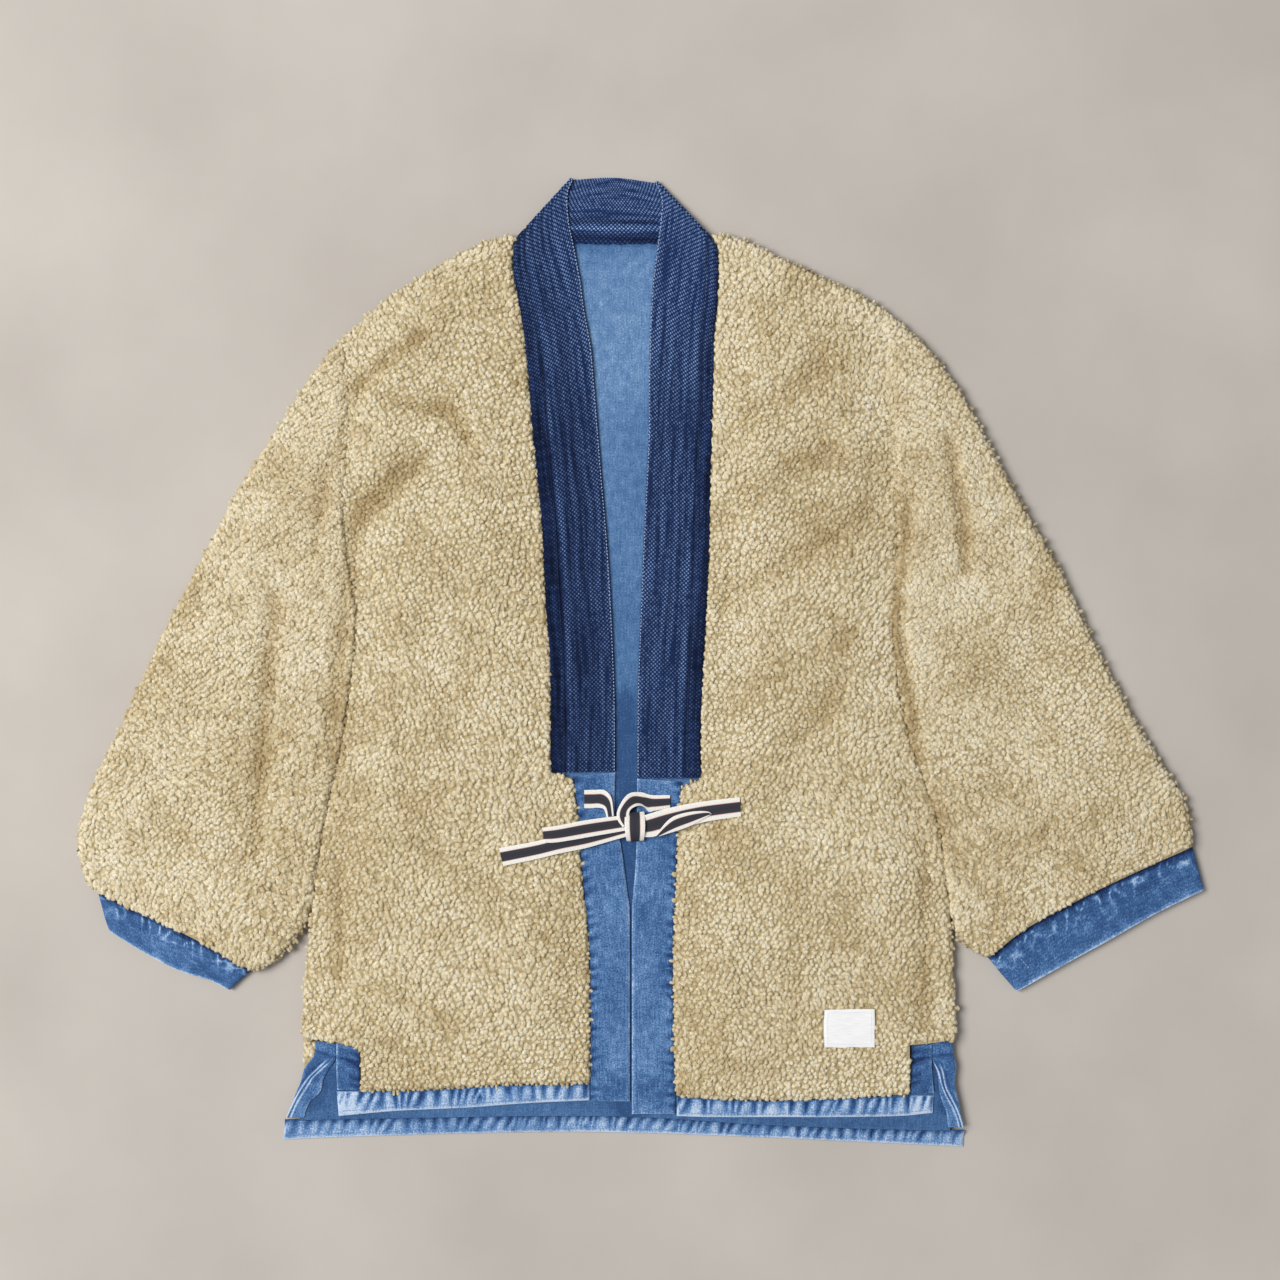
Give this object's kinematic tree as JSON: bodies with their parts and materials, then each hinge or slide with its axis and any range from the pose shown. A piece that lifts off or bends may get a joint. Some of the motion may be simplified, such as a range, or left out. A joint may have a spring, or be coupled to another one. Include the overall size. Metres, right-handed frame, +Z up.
{
  "type": "kimono jacket",
  "caption": "Reversible kimono jacket in sand curly fleece with an indigo woven collar, denim bands and a striped tape tie, laid flat, front up.",
  "frame": {"origin": "on the floor under the centre of the laid jacket's outline", "axes": "+Z up from the floor through the jacket's front; +Y from the hem to the neck; +X towards the wearer's left sleeve"},
  "size_m": [1.0713, 0.925, 0.0195],
  "materials": {
    "fleece_sand": "curly boa fleece, matt",
    "denim_light": "light washed denim, matt",
    "denim_mid": "mid washed denim, roped seams, matt",
    "sashiko_indigo": "dotted indigo sashiko weave, matt",
    "tape_striped": "woven cotton tape, dark with pale edges",
    "label_white": "smooth woven label, blank"
  },
  "bodies": {
    "root": {"back": "fleece_sand", "front_right": "fleece_sand", "front_left": "fleece_sand", "sleeve_right": "fleece_sand", "sleeve_left": "fleece_sand", "back_lining": "denim_light", "cuff_right": "denim_mid", "cuff_left": "denim_mid", "edge_band_right": "denim_mid", "edge_band_left": "denim_mid", "hem_band_right": "denim_mid", "hem_band_left": "denim_mid", "hem_band_back": "denim_mid", "vent_front_right": "denim_mid", "vent_front_left": "denim_mid", "vent_back_right": "denim_mid", "vent_back_left": "denim_mid", "collar": "sashiko_indigo", "tie_end_right": "tape_striped", "tie_end_left": "tape_striped", "tie_knot": "tape_striped", "tie_tail_upper": "tape_striped", "tie_tail_lower": "tape_striped", "tie_tail_left": "tape_striped", "label": "label_white"}
  },
  "joints": []
}
